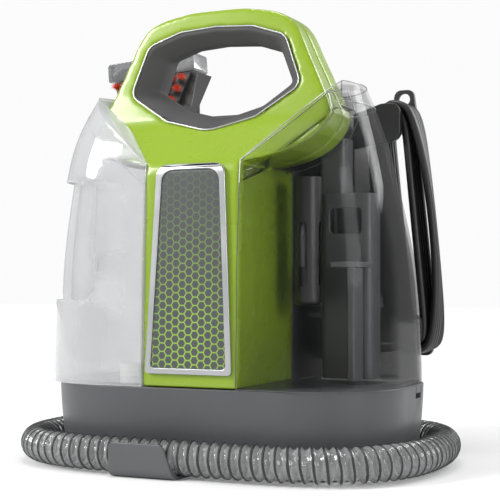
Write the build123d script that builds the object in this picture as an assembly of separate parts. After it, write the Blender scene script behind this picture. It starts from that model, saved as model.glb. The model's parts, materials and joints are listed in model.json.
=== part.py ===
"""A portable carpet and upholstery spot cleaner, in millimetres.

+Z is up, the front faces -Y and +X is to the right as seen from the front. The origin is on the floor, at the
middle of the machine's footprint with its hose wound round the base.
"""
from build123d import *
import os
from math import hypot, pi, radians, tan

# Driving dimensions
BASE_TOP = 62.0            # deck that the tanks stand on
COLUMN_HALF = 38.0         # half width of the green column between the tanks
COLUMN_BACK = 17.0         # where the green side walls end
WALL = 2.5                 # moulded walls
TANK_WALL = 2.2            # walls of the two tanks
TANK_GAP = 0.4             # air between a tank and the machine
TANK_TOP = 284.0           # highest level of the tanks
TANK_BACK = 77.0           # rearmost plane of the tanks, clear of the rear cover and the hooks
DEPTH_LIMIT = 122.0        # half the machine's overall depth, from the hose clip to the cord hooks
HANDLE_TOP = 345.0
HANDLE_MIDDLE = -25.0      # joint between the handle's front and rear halves
HANDLE_REAR = -5.0
TOWER_TOP = 270.0
TOWER_BACK = 78.0
COVER_BACK = 84.0          # outer face of the rear cover
HOSE_RADIUS = 13.0
HOSE_HALF_WIDTH = 157.3    # of the hose's centreline round the base
HOSE_HALF_DEPTH = 106.6
HOSE_HEIGHT = 14.5         # of that centreline above the floor
CORD_DIAMETER = 6.5
UPPER_POST = (97.0, 268.0)  # x and z of the posts that the mains lead is wound on
LOWER_POST = (114.0, 100.0)
POST_RADIUS = 6.0
HANK_DEPTH = 5 * CORD_DIAMETER
TOOL_LEAN = 4.0            # degrees that the stored spray tool leans outwards

# Height, half width, front, back, front corner radius and rear corner radius of the outer form
BODY_SECTIONS = (
    (62, 141, -89, 84, 62, 72),
    (90, 140.8, -88.8, 82.6, 61, 72),
    (125, 140, -88, 80, 60, 72),
    (172, 136, -86, 70, 55, 70),
    (202, 131, -84, 62, 50, 68),
    (233, 125, -80, 54, 45, 65),
    (264, 116, -68, 46, 38, 62),
    (290, 106, -56, 40, 34, 58),
)
# The machine's front line seen from the side, as (y, z), from the deck to the top of the handle, and its bends
FRONT_LINE = ((-87.5, 62), (-82.5, 224), (-52, 257), (-46, 285), (-39, 350))
FRONT_BENDS = (0, 18, 30, 60, 0)
# Right half of the handle's outline, from the wing's root to the middle of the arch, and of its opening, as (x, z)
WING = ((38, 226), (56, 228.5), (74, 235), (88, 246), (95, 260), (90, 275))
LEG = ((81.5, 293), (73, 311), (64.5, 328), (52, 338.2), (28, 343.6), (0, HANDLE_TOP))
OPENING = ((0, 251.5), (37, 261), (71, 283), (57, 321), (30, 330), (0, 332))
GRIP_THICKNESS = 12.0      # how far the lining stands into the opening at its narrowest
RECESS_DEPTH = 11.0        # of the clean tank's finger recess, measured in from the outer form
RECESS_BACK = -38.0        # y where the finger recess ends on the tank's side
FILLER_PLACE = (-84.0, -12.0)  # x and y of the clean tank's filler
FLOAT_PLACE = (63.0, -14.0)    # x and y of the float in the dirty tank


def block(x0, x1, y0, y1, z0, z1):
    """A box between its lowest and highest corners."""
    return Pos((x0 + x1) / 2, (y0 + y1) / 2, (z0 + z1) / 2) * Box(x1 - x0, y1 - y0, z1 - z0)


def rounded_block(x0, x1, y0, y1, z0, z1, radius, axis=Axis.Z):
    """A box with the edges along one axis rounded."""
    form = block(x0, x1, y0, y1, z0, z1)
    return fillet(form.edges().filter_by(axis), radius)


def post(x, y, z0, z1, radius):
    """An upright cylinder."""
    return Pos(x, y, (z0 + z1) / 2) * Cylinder(radius, z1 - z0)


def bar(x, y0, y1, z, radius):
    """A cylinder lying along Y."""
    return Pos(x, (y0 + y1) / 2, z) * Rot(90, 0, 0) * Cylinder(radius, y1 - y0)


def front_view(sketch, y0, y1):
    """A front-view outline (x, z) made solid from y0 back to y1."""
    return extrude(Plane((0, y1, 0), x_dir=(1, 0, 0), z_dir=(0, -1, 0)) * sketch, amount=y1 - y0)


def side_view(sketch, x0, x1):
    """A side-view outline (y, z) made solid from x0 to x1."""
    return extrude(Plane((x0, 0, 0), x_dir=(0, 1, 0), z_dir=(1, 0, 0)) * sketch, amount=x1 - x0)


def outline(points, radii=None):
    """A closed flat outline whose corners are rounded by a list of radii, or left sharp."""
    face = make_face(Polyline(*points, close=True))
    for point, radius in zip(points, radii or ()):
        if radius:
            corner = min(face.vertices(), key=lambda v: hypot(v.X - point[0], v.Y - point[1]))
            face = fillet(corner, radius)
    return face


def both_sides(half):
    """A right half outline, bottom to top, joined with its mirror image."""
    return [*half, *((-x, z) for x, z in reversed(half) if x)]


def mirrored(solid):
    """The same form on the other side of the machine."""
    return mirror(solid, about=Plane.YZ)


def plan_outline(half_width, front, back, front_radius, rear_radius, inset=0.0):
    """A rounded plan, drawn in by inset all round."""
    front, back, half_width = front + inset, back - inset, half_width - inset
    face = Pos(0, (front + back) / 2) * Rectangle(2 * half_width, back - front)
    face = fillet(face.vertices().group_by(Axis.Y)[0], front_radius - inset)
    return fillet(face.vertices().group_by(Axis.Y)[-1], rear_radius - inset)


def body_form(inset=0.0):
    """The outer form that the tanks share, drawn in by inset."""
    return loft([Pos(0, 0, s[0]) * plan_outline(*s[1:], inset) for s in BODY_SECTIONS])


def front_profile(back, shift=0.0, low=BASE_TOP, high=350.0):
    """Side view of everything behind the machine's front line, moved back by shift."""
    line = [(y + shift, z) for y, z in FRONT_LINE]
    form = outline([*line, (back, 350), (back, 62)], [*FRONT_BENDS, 0, 0])
    return form & (Pos(0, (low + high) / 2) * Rectangle(400, high - low))


def handle_outline():
    """Front view of the column, its two wings and the ring of the handle."""
    half = Spline(*WING, *LEG, tangents=((1, 0), (-1, 0)))
    foot = Polyline(WING[0], (COLUMN_HALF, BASE_TOP), (-COLUMN_HALF, BASE_TOP), (-WING[0][0], WING[0][1]))
    return make_face([half, mirror(half, about=Plane.YZ), foot])


def opening_outline(inset=0.0):
    """Front view of the hole in the handle, drawn in by inset."""
    points = both_sides(list(OPENING))
    radii = [30, 12, 9, 12, 14, 0, 14, 12, 9, 12]
    face = outline(points, radii)
    return offset(face, -inset) if inset else face


def above_shelf(drop=0.0):
    """Everything above the sloping shelf on the right tank's top, lowered by drop, and above its flat top."""
    x_rise, y_rise = 0.75, 0.28

    def height(x, y):
        return 225 - drop + x_rise * (x - 37) + y_rise * (y + 82)

    near, far, left, right = -150, 150, -60, 260
    corners = [(x, y, height(x, y)) for x, y in ((left, near), (right, near), (right, far), (left, far))]
    shelf = make_face(Polyline(*corners, close=True))
    return extrude(shelf, amount=400, dir=(0, 0, 1)) + block(-60, 260, -150, 150, TANK_TOP - drop, 600)


def wing_room(grow):
    """The space round the right wing of the handle and the tower that a tank has to leave free, by grow."""
    low = BASE_TOP - 5
    slack = 1.2  # the wing's true outline bulges past its chords by less than this
    chords = outline([(-5, 226), *WING, LEG[0], (79, 300), (-5, 300)])
    wing = front_view(offset(chords, grow + slack), -95, HANDLE_REAR + grow)
    wing &= side_view(front_profile(60, shift=-grow, low=190), -50, 150)
    return wing + block(-50, COLUMN_HALF + grow, -120, 120, low, 300)


def finger_recess(grow):
    """The hollow for the fingers at the outer front corner of the right-hand form."""
    reach = rounded_block(79 - grow, 160, -120, RECESS_BACK + grow, 125 - grow, 217 + grow, 14 + grow, Axis.Y)
    return reach - body_form(RECESS_DEPTH + grow)


def tank_form(inset):
    """The right-hand tank's outer form, or with an inset its inside."""
    form = body_form(inset) - wing_room(TANK_GAP + inset) - above_shelf(inset)
    return form & block(0, 200, -150, TANK_BACK - inset, BASE_TOP + TANK_GAP + inset, 300)


def tank(recessed):
    """A tank's tub and its top, on the right-hand side, divided along a line below the shelf."""
    outer, inner = tank_form(0), tank_form(TANK_WALL)
    if recessed:
        outer, inner = outer - finger_recess(0), inner - finger_recess(TANK_WALL)
    shell = outer - inner
    lid_zone = above_shelf(16)
    return shell - lid_zone, shell & lid_zone


def badge_outline(inset):
    """Front view of the badge, narrower at its rounded top, drawn in by inset."""
    return outline(
        [(-35 + inset, 72 + inset), (35 - inset, 72 + inset), (27.5 - inset, 225 - inset), (-27.5 + inset, 225 - inset)],
        [3, 3, 9, 9],
    )


def badge_slice(sketch, front_shift, back_shift):
    """A badge piece that follows the machine's front line, between two distances from it."""
    form = front_view(sketch, -100, -60)
    return (form & side_view(front_profile(0, front_shift), -60, 60)) - side_view(front_profile(0, back_shift), -60, 60)


def front_pieces():
    """The green front shell and the badge on it."""
    ring = front_view(handle_outline() - opening_outline(), -95, HANDLE_MIDDLE)
    ring &= side_view(front_profile(HANDLE_MIDDLE), -150, 150)
    column = block(-COLUMN_HALF, COLUMN_HALF, -100, COLUMN_BACK, BASE_TOP, 226)
    column &= side_view(front_profile(COLUMN_BACK), -150, 150)
    inside = COLUMN_HALF - WALL
    hollow = block(-inside, inside, -100, COLUMN_BACK, BASE_TOP, 223)
    hollow &= side_view(front_profile(COLUMN_BACK, WALL), -150, 150)
    return {
        "front_shell": ring + column - hollow,
        "badge_frame": badge_slice(badge_outline(0) - badge_outline(4.5), -3.2, 0),
        "badge_panel": badge_slice(badge_outline(4.6), -2.0, 0),
    }


def handle_pieces():
    """The rear half of the handle and the dark lining of its opening."""
    upper = handle_outline() & (Pos(0, 300) * Rectangle(400, 148))
    rear = front_view(upper - opening_outline(), HANDLE_MIDDLE, HANDLE_REAR)
    sections = [(-60, 0.8), (-46, 0.8), (-27, GRIP_THICKNESS), (-20, GRIP_THICKNESS), (HANDLE_REAR, 8), (4, 8)]
    planes = [Plane((0, y, 0), x_dir=(1, 0, 0), z_dir=(0, -1, 0)) * opening_outline(inset) for y, inset in sections]
    through = loft(planes[:3], ruled=True) + loft(planes[2:4], ruled=True) + loft(planes[3:], ruled=True)
    grip = front_view(opening_outline(), -95, HANDLE_REAR) & side_view(front_profile(HANDLE_REAR, -0.8), -150, 150)
    return {"handle_rear": rear, "handle_grip": grip - through}


def tank_pieces():
    """Both tanks with what is fixed in them, and the parts that move in them."""
    tub, top = tank(recessed=False)
    clean, clean_top = (mirrored(piece) for piece in tank(recessed=True))
    filler = post(*FILLER_PLACE, BASE_TOP + TANK_GAP, BASE_TOP + 12, 15)
    seat = post(*FILLER_PLACE, BASE_TOP - 2, BASE_TOP + 14, 15.2)
    cage = post(*FLOAT_PLACE, 121, 218, 10.8)
    cage = fillet(cage.edges().group_by(Axis.Z)[0], 5) - post(*FLOAT_PLACE, 124, 214, 9.2)
    for angle in (0, 90):
        cage -= Pos(*FLOAT_PLACE, 160) * Rot(0, 0, angle) * rounded_block(-3, 3, -15, 15, -24, 24, 2.8, Axis.Y)
    base = BASE_TOP + TANK_GAP + TANK_WALL
    stack = rounded_block(62, 104, 14, 40, base, 207, 6) - rounded_block(64, 102, 16, 38, base + 2, 209, 4)
    stack -= rounded_block(70, 96, 5, 20, 176, 196, 4, Axis.Y)
    duct = rounded_block(60, 82, 16, 38, 207, 250, 5) - rounded_block(62, 80, 18, 36, 206, 251, 3)
    shelf = rounded_block(84, 106, -22, 12, 150, 154, 1.5, Axis.Z) + rounded_block(92, 98, -8, 14, base, 152, 1.5)
    return {
        "dirty_tank": tub,
        "dirty_tank_top": top,
        "separator_stack": stack,
        "inlet_duct": duct,
        "baffle": shelf,
        "float_cage": cage,
        "float": post(*FLOAT_PLACE, 125, 150, 8.6),
        "clean_tank": clean - seat,
        "clean_tank_top": clean_top,
        "filler_cap": filler - post(*FILLER_PLACE, BASE_TOP - 1, BASE_TOP + 9, 6.3),
        "filler_valve": post(*FILLER_PLACE, BASE_TOP + 0.6, BASE_TOP + 5.6, 6.2),
    }


def base_pieces():
    """The base housing, its tray, feet, catch, hose clips and screws."""
    def level(z, half_width, half_depth, radius, inset=0.0):
        return Pos(0, 0, z) * plan_outline(half_width, -half_depth, half_depth, radius, radius, inset)

    outer = loft([level(4, 136, 84, 68), level(34, 139.5, 87.5, 71), level(BASE_TOP, 141, 89, 72)])
    inner = loft([level(3, 136, 84, 68, 3), level(34, 139.5, 87.5, 71, 3), level(BASE_TOP - 3, 141, 89, 72, 3)])
    housing = outer - inner - post(*FILLER_PLACE, BASE_TOP - 4, BASE_TOP + 1, 8)
    housing -= rounded_block(-30, 30, -60, 0, BASE_TOP - 4, BASE_TOP + 1, 6)
    housing -= post(-10, 24, BASE_TOP - 4, BASE_TOP + 1, 3.4)
    catch_slot = (131, 15, BASE_TOP - 10)
    housing -= block(catch_slot[0] - 7, 160, catch_slot[1] - 6.2, catch_slot[1] + 6.2, catch_slot[2], BASE_TOP + 1)
    pocket = rounded_block(116, 138, 5, 25, BASE_TOP - 12, BASE_TOP - 0.4, 2)
    housing += (pocket & outer) - block(124, 160, 8.8, 21.2, catch_slot[2], BASE_TOP + 1)
    tray = extrude(level(1.5, 142, 90, 73), amount=2.5)
    catch = block(124.4, 160, 9.2, 20.8, BASE_TOP - 6, BASE_TOP) & outer
    feet = [post(x, y, 0, 1.5, 9) for x in (-105, 105) for y in (-55, 55)]
    lip = -HOSE_HALF_DEPTH - HOSE_RADIUS - 0.2
    clip = side_view(
        outline([(-84, 0.3), (-118, 0.3), (-DEPTH_LIMIT, 4), (-DEPTH_LIMIT, 25), (lip, 25), (lip, 10), (-113, 1.5),
                 (-84, 1.5)], [0, 6, 6, 1, 1, 4, 0, 0]), -47, 6)
    clip -= hose_form()
    clip &= front_view(outline([(-47, 0), (6, 0), (-4, 26), (-47, 26)], [0, 0, 7, 5]), -130, -80)
    return {
        "base_housing": housing,
        "base_tray": tray,
        "tank_catch": catch,
        "feet": Compound(feet),
        "front_hose_clip": clip,
    }


def tower_pieces():
    """The dark rear tower behind the column, its cap with the switches, and the rear cover."""
    inside = COLUMN_HALF - WALL
    tower = block(-COLUMN_HALF, COLUMN_HALF, COLUMN_BACK, TOWER_BACK, BASE_TOP, 226)
    tower += block(-COLUMN_HALF, COLUMN_HALF, HANDLE_REAR, TOWER_BACK, 226, TOWER_TOP - 3)
    tower -= block(-inside, inside, COLUMN_BACK - 1, TOWER_BACK - WALL, BASE_TOP - 1, 226)
    tower -= block(-inside, inside, HANDLE_REAR + WALL, TOWER_BACK - WALL, 228.5, TOWER_TOP)
    tower -= block(-inside, inside, COLUMN_BACK + WALL, TOWER_BACK - WALL, 225, 229)
    tower -= rounded_block(30, 45, 20, 36, 234, 250, 3, Axis.X)
    tower -= bar(-20, 70, 90, 250, 13)
    cap = rounded_block(-COLUMN_HALF, COLUMN_HALF, HANDLE_REAR + 0.1, TOWER_BACK, TOWER_TOP - 3, TOWER_TOP, 5)
    cap = chamfer(cap.edges().group_by(Axis.Z)[-1], 1)
    switches = {}
    for name, x in (("power_switch", 15), ("heat_switch", -15)):
        cap -= block(x - 9.3, x + 9.3, 18.7, 35.3, TOWER_TOP - 4, TOWER_TOP + 1)
        rocker = side_view(outline([(-7.5, -3.4), (7.5, -3.4), (8, 2.2), (0, 0.7), (-8, 1.2)]), x - 9, x + 9)
        switches[name] = Pos(0, 27, TOWER_TOP) * rocker
    cap -= post(0, 50, TOWER_TOP - 4, TOWER_TOP + 1, 3)
    cover = rounded_block(-64, 66, TOWER_BACK + 0.05, COVER_BACK, 88, 272, 14, Axis.Y)
    cover = chamfer(cover.edges().group_by(Axis.Y)[-1], 1.5)
    cover -= bar(-20, 70, 90, 250, 13)
    for row in range(9):
        z = 110 + 9 * row
        cover -= rounded_block(6, 56, 70, 90, z, z + 3.4, 1.6, Axis.Y)
    screw_places = [(-54, 100), (56, 98), (-54, 262), (20, 262), (-54, 180), (30, 200)]
    screws = [bar(x, COVER_BACK, COVER_BACK + 2, z, 3.5) - block(x - 2.6, x + 2.6, COVER_BACK + 1, COVER_BACK + 3,
                                                                  z - 0.5, z + 0.5) for x, z in screw_places]
    return {
        "rear_tower": tower,
        "tower_cap": cap,
        **switches,
        "pilot_lens": post(0, 50, TOWER_TOP - 2.8, TOWER_TOP + 0.8, 2.95),
        "rear_cover": cover,
        "cover_screws": Compound(screws),
    }


def hose_route():
    """Corner points of the hose: down from its port, round the base on the floor and up to the tool's grip."""
    rear, z = HOSE_HALF_DEPTH - 1.6, HOSE_HEIGHT
    return [
        (-20, rear, 232), (-20, rear, z), (HOSE_HALF_WIDTH, rear, z), (HOSE_HALF_WIDTH, -HOSE_HALF_DEPTH, z),
        (-HOSE_HALF_WIDTH, -HOSE_HALF_DEPTH, z), (-HOSE_HALF_WIDTH, 39.4, z), (-137.7, 75.9, 31.3),
        (-111.9, 95.5, 62.7), (-95.3, 101.6, 104.2), (-95, 101.2, 127.5),
    ]


def turn_radii(points, share=0.45):
    """The radius at each corner of a route: as large as its two runs allow."""
    radii = []
    for before, corner, after in zip(points, points[1:], points[2:]):
        first, second = Vector(*corner) - Vector(*before), Vector(*after) - Vector(*corner)
        half_turn = radians(first.get_angle(second) / 2)
        radii.append(share * min(first.length, second.length) / tan(half_turn))
    return radii


def tube(points, radii, radius):
    """A round tube along straight runs joined by arcs."""
    path = FilletPolyline(*points, radius=radii)
    start = Plane(origin=path @ 0, z_dir=path % 0)
    solid = sweep(start * Circle(radius), path=path)
    print(f"  route {path.length:.0f} mm, arcs {[round(r) for r in radii]},"
          f" volume ratio {solid.volume / (pi * radius ** 2 * path.length):.4f}")
    return solid


def hose_form():
    """The straight stretch of hose along the machine's front."""
    return Pos(0, -HOSE_HALF_DEPTH, HOSE_HEIGHT) * Rot(0, 90, 0) * Cylinder(HOSE_RADIUS + 0.05, 120)


def hose_pieces():
    """The hose with the port it starts from, its cuffs and the clips that keep it on the machine."""
    route = hose_route()
    radii = [81, 90, 93, 93, *turn_radii(route[4:], 0.49)]
    rear, top = route[0][1], route[0][2]
    hose = tube(route, radii, HOSE_RADIUS)
    port = rounded_block(-38, -2, COVER_BACK, rear + 14.6, 236, 266, 10) - post(-20, rear, 230, 256, 10)
    port -= bar(-20, COVER_BACK - 1, rear, 250, 10)
    return {
        "hose": hose,
        "hose_port": port,
        "hose_collar": post(-20, rear, top, 236, 14.6) - post(-20, rear, top - 1, 237, 10),
    }


def lead_pieces():
    """The mains lead on its two hooks, with its gland, the hooks and the plug."""
    (ux, uz), (lx, lz) = UPPER_POST, LOWER_POST
    near, far = COVER_BACK + 0.5, COVER_BACK + 0.5 + HANK_DEPTH

    def oval(radius):
        ends = [Pos(ux, uz) * Circle(radius), Pos(lx, lz) * Circle(radius)]
        return make_hull([edge for end in ends for edge in end.edges()])

    hank = front_view(oval(20) - oval(POST_RADIUS + 0.4), near, far)
    arm = outline([(40, 244), (106, 254), (106, 284), (90, 284), (40, 268)], [0, 8, 8, 8, 0])
    ear = outline([(84, 264), (110, 264), (105, 300), (89, 300)], [4, 4, 6, 6]) - Pos(97, 292) * Circle(5)
    upper = front_view(arm, COVER_BACK - 5.9, COVER_BACK) - block(30, 66.1, 70, COVER_BACK + 1, 200, 300)
    upper += bar(ux, COVER_BACK - 1, far + 0.5, uz, POST_RADIUS) + front_view(ear, far + 0.5, DEPTH_LIMIT)
    arm = outline([(60, 92), (124, 88), (124, 112), (60, 124)], [0, 8, 8, 0])
    ear = outline([(103, 104), (125, 104), (121, 78), (107, 78)], [4, 4, 6, 6])
    lower = front_view(arm, COVER_BACK - 5.9, COVER_BACK) - block(30, 66.1, 70, COVER_BACK + 1, 50, 200)
    lower += bar(lx, COVER_BACK - 1, far + 0.5, lz, POST_RADIUS) + front_view(ear, far + 0.5, DEPTH_LIMIT)
    middle = (near + far) / 2
    gland_z = 84.0
    gland = rounded_block(34, 54, COVER_BACK, middle + 9, gland_z - 9, gland_z + 9, 3)
    relief = Pos(67, middle, gland_z) * Rot(0, 90, 0) * Cone(6.5, 4.3, 26)
    relief -= Pos(74, middle, gland_z) * Rot(0, 90, 0) * Cylinder(CORD_DIAMETER / 2, 20)
    tail = Pos(83, middle, gland_z) * Rot(0, 90, 0) * Cylinder(CORD_DIAMETER / 2, 38)
    plug_points = [(79.5, middle, 222), (74, middle, 205), (68, middle, 190), (67, middle, 176)]
    plug = rounded_block(55, 79, middle - 9, middle + 9, 142, 176, 4)
    plug = chamfer(plug.edges().group_by(Axis.Z)[-1], 2)
    pins = [block(60.5, 62, middle - 3.2, middle + 3.2, 126, 143), block(72, 73.5, middle - 3.2, middle + 3.2, 126, 143)]
    return {
        "upper_cord_hook": upper,
        "lower_cord_hook": lower,
        "cord_gland": gland + relief,
        "mains_lead_tail": tail,
        "mains_lead_hank": hank,
        "mains_lead_end": tube(plug_points, turn_radii(plug_points), CORD_DIAMETER / 2),
        "mains_plug": plug,
        "plug_pins": Compound(pins),
    }


def tool_pieces():
    """The spray tool stored upright behind the clean tank, and the holder that carries it."""
    lean = Pos(-95, 101.2, 128) * Rot(0, -TOOL_LEAN, 0)
    grip = loft([Pos(0, 0, z) * Ellipse(a, b) for z, a, b in ((0, 16, 16), (60, 15, 16.5), (120, 16.5, 15),
                                                               (158, 19, 13))])
    grip -= block(-5, 5, -30, 2, 66, 112)
    trigger = rounded_block(-4.4, 4.4, -22, -7, 70, 108, 3, Axis.X)
    lock = bar(0, 11, 17, 128, 5)
    grip -= bar(0, 8, 20, 128, 5.3)
    neck = loft([
        Pos(0, 0, 158) * Ellipse(19, 13),
        Pos(0, -8, 172) * Ellipse(24, 13),
        Pos(0, -26, 187) * Rectangle(66, 24),
    ])
    mouth = front_view(outline([(-42, 188), (42, 188), (42, 204), (-42, 204)], [2, 2, 3, 3]), -50, -24)
    mouth -= block(-40, 40, -48, -26, 190, 205)
    window = front_view(outline([(-33, 160), (33, 160), (41, 187.8), (-41, 187.8)]), -42.5, -40)
    brush = front_view(outline([(-22, 160), (22, 160), (37, 187), (-37, 187)]), -46.6, -42.5)
    head = front_view(outline([(-24, 158.2), (24, 158.2), (41, 187.8), (-41, 187.8)]), -40, -14) - neck
    tufts = []
    for z, half, count in ((183, 32, 8), (174, 27, 7), (165, 21, 6)):
        for i in range(count):
            x = -half + 2 * half * i / (count - 1)
            tufts.append(Pos(x, -50.6, z) * Rot(90, 0, 0) * Cylinder(3.1, 8))
    holder = rounded_block(-120, -64.1, TOWER_BACK, COVER_BACK, 148, 184, 6, Axis.Y)
    holder += rounded_block(-122, -76, COVER_BACK - 1, 112, 158, 170, 5)
    holder -= lean * post(0, 0, 10, 70, 16.6)
    return {
        "tool_grip": lean * grip,
        "tool_trigger": lean * trigger,
        "tool_lock_button": lean * lock,
        "tool_neck": lean * neck,
        "tool_head": lean * head,
        "tool_mouth": lean * mouth,
        "tool_window": lean * window,
        "brush_plate": lean * brush,
        "brush_tufts": lean * Compound(tufts),
        "tool_holder": holder,
    }


def inner_pieces():
    """What the machine holds inside: motor, fan, pump and heater."""
    turn_x, turn_y = 0.0, 28.0
    motor = post(turn_x, turn_y, 152, 212, 31) - post(turn_x, turn_y, 151, 213, 24)
    plate = block(-35.4, 35.4, -4, 62, 212, 216) - post(turn_x, turn_y, 211, 217, 4.3)
    rotor = post(turn_x, turn_y, 156, 208, 22) + post(turn_x, turn_y, 130, 216, 4.2)
    fan = post(turn_x, turn_y, 126, 150, 33) - post(turn_x, turn_y, 128, 148, 31) - post(turn_x, turn_y, 125, 151, 6)
    fan += post(turn_x, turn_y, 148, 152, 33) - post(turn_x, turn_y, 147, 153, 24)
    wheel = post(turn_x, turn_y, 133, 135, 29) - post(turn_x, turn_y, 132, 136, 4.2)
    for step in range(9):
        blade = Pos(turn_x, turn_y, 0) * Rot(0, 0, 40 * step) * block(9, 28, -0.6, 0.6, 134.9, 144)
        wheel += blade
    pump = rounded_block(-24, 24, 8, 48, BASE_TOP, 92, 4) - post(0, 28, 66, 93, 8)
    piston = post(0, 28, 70, 100, 7.95)
    heater = rounded_block(-104, -48, 4, 44, 4, 26, 4)
    pipe_points = [(-48, 24, 15), (-24, 24, 15), (-10, 24, 32), (-10, 24, BASE_TOP)]
    return {
        "motor_can": motor,
        "motor_plate": plate,
        "rotor": rotor,
        "fan_housing": fan,
        "impeller": wheel,
        "pump_body": pump,
        "pump_piston": piston,
        "heater_block": heater,
        "solution_pipe": tube(pipe_points, [14, 14], 3),
    }


def export_all(pieces):
    """Writes one STEP file for each named piece."""
    os.makedirs("parts", exist_ok=True)
    for name, piece in pieces.items():
        export_step(piece, f"parts/{name}.step")


def main():
    """Builds every piece and writes it."""
    pieces = {
        **base_pieces(), **front_pieces(), **handle_pieces(), **tank_pieces(), **tower_pieces(),
        **hose_pieces(), **lead_pieces(), **tool_pieces(), **inner_pieces(),
    }
    export_all(pieces)


main()
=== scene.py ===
"""The looks of a portable carpet cleaner: mouldings, tanks, hose, mains lead and spray tool.

Everything is in metres in the machine's own frame: +Z is up and the front faces -Y.
"""

import json
import logging
import math
from dataclasses import dataclass
from enum import Enum
from typing import Callable, Iterable, Sequence

import bmesh
import bpy
from mathutils import Matrix, Vector

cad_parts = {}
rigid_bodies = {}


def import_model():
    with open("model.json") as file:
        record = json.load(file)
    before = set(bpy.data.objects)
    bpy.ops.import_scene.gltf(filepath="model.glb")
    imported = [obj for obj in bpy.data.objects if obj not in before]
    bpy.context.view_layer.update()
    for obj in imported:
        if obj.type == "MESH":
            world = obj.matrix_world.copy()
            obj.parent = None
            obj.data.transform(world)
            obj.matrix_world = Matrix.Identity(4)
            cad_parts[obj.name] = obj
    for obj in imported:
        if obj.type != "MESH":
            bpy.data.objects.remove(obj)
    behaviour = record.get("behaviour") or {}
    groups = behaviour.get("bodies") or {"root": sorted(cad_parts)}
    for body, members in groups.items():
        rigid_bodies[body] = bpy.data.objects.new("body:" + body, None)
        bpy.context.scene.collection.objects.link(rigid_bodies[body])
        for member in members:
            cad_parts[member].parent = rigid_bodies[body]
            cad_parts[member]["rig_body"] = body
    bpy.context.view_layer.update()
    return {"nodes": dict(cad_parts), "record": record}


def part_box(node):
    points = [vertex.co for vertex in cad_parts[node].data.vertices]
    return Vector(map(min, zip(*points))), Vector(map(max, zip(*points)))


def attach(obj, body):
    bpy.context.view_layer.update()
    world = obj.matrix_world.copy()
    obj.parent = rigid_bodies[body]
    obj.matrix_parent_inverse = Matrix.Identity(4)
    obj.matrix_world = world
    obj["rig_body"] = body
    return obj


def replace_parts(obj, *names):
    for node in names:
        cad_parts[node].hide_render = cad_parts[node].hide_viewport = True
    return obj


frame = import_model()
log = logging.getLogger("carpet_cleaner")

Colour = tuple[float, float, float]
Point = tuple[float, float, float]
MM = 0.001


class Rounding(Enum):
    """How the edges of a moulding are rounded."""
    NONE = "none"
    BEVEL = "bevel"
    REMESH = "remesh"


# ---------------------------------------------------------------- node trees


class Tree:
    """A node tree with short calls for adding and linking nodes."""

    def __init__(self, tree: bpy.types.NodeTree) -> None:
        """Keeps the tree that the calls add to."""
        self.tree = tree

    def node(self, kind: str, inputs: dict | None = None, **settings: object) -> bpy.types.Node:
        """Adds a node.

        Args:
            kind: The node's type name.
            inputs: Values or output sockets for its inputs, by name or number.
            settings: Attributes to set on the node.

        Returns:
            The new node.
        """
        node = self.tree.nodes.new(kind)
        for key, value in settings.items():
            setattr(node, key, value)
        for key, value in (inputs or {}).items():
            if isinstance(value, bpy.types.NodeSocket):
                self.tree.links.new(value, node.inputs[key])
            else:
                node.inputs[key].default_value = value
        return node

    def math(self, operation: str, *values: object) -> bpy.types.NodeSocket:
        """Adds a Math node in a shader or geometry tree and returns its result."""
        node = self.node("ShaderNodeMath", dict(enumerate(values)), operation=operation)
        return node.outputs[0]

    def vector(self, operation: str, *values: object) -> bpy.types.NodeSocket:
        """Adds a Vector Math node and returns its vector result."""
        node = self.node("ShaderNodeVectorMath", dict(enumerate(values)), operation=operation)
        return node.outputs["Vector"]


def new_group(kind: str, name: str, inputs: dict[str, object], outputs: dict[str, str]) -> Tree:
    """Makes an empty node group with named sockets.

    Args:
        kind: "ShaderNodeTree" or "GeometryNodeTree".
        name: The group's name.
        inputs: Default value of each input, or a socket type where it has no default.
        outputs: Socket type of each output.

    Returns:
        The group, ready for nodes.
    """
    group = bpy.data.node_groups.new(name, kind)
    for label, default in inputs.items():
        if isinstance(default, str):
            group.interface.new_socket(label, in_out="INPUT", socket_type=default)
            continue
        socket_type = "NodeSocketInt" if isinstance(default, int) else "NodeSocketFloat"
        socket = group.interface.new_socket(label, in_out="INPUT", socket_type=socket_type)
        socket.default_value = default
    for label, socket_type in outputs.items():
        group.interface.new_socket(label, in_out="OUTPUT", socket_type=socket_type)
    return Tree(group)


def grain_group() -> bpy.types.NodeTree:
    """Builds the fine moulded grain that the matt plastics share.

    Returns:
        A group from Scale to Height, the grain, and Mottle, a slow change over the part.
    """
    tree = new_group("ShaderNodeTree", "moulded_grain", {"Scale": 1500.0, "Patch Scale": 18.0},
                     {"Height": "NodeSocketFloat", "Mottle": "NodeSocketFloat"})
    sockets = tree.node("NodeGroupInput")
    place = tree.node("ShaderNodeTexCoord").outputs["Object"]
    fine = tree.node("ShaderNodeTexNoise", {"Vector": place, "Scale": sockets.outputs["Scale"], "Detail": 3.0})
    slow = tree.node("ShaderNodeTexNoise", {"Vector": place, "Scale": sockets.outputs["Patch Scale"], "Detail": 4.0})
    tree.node("NodeGroupOutput", {"Height": fine.outputs[0], "Mottle": slow.outputs[0]})
    return tree.tree


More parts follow.
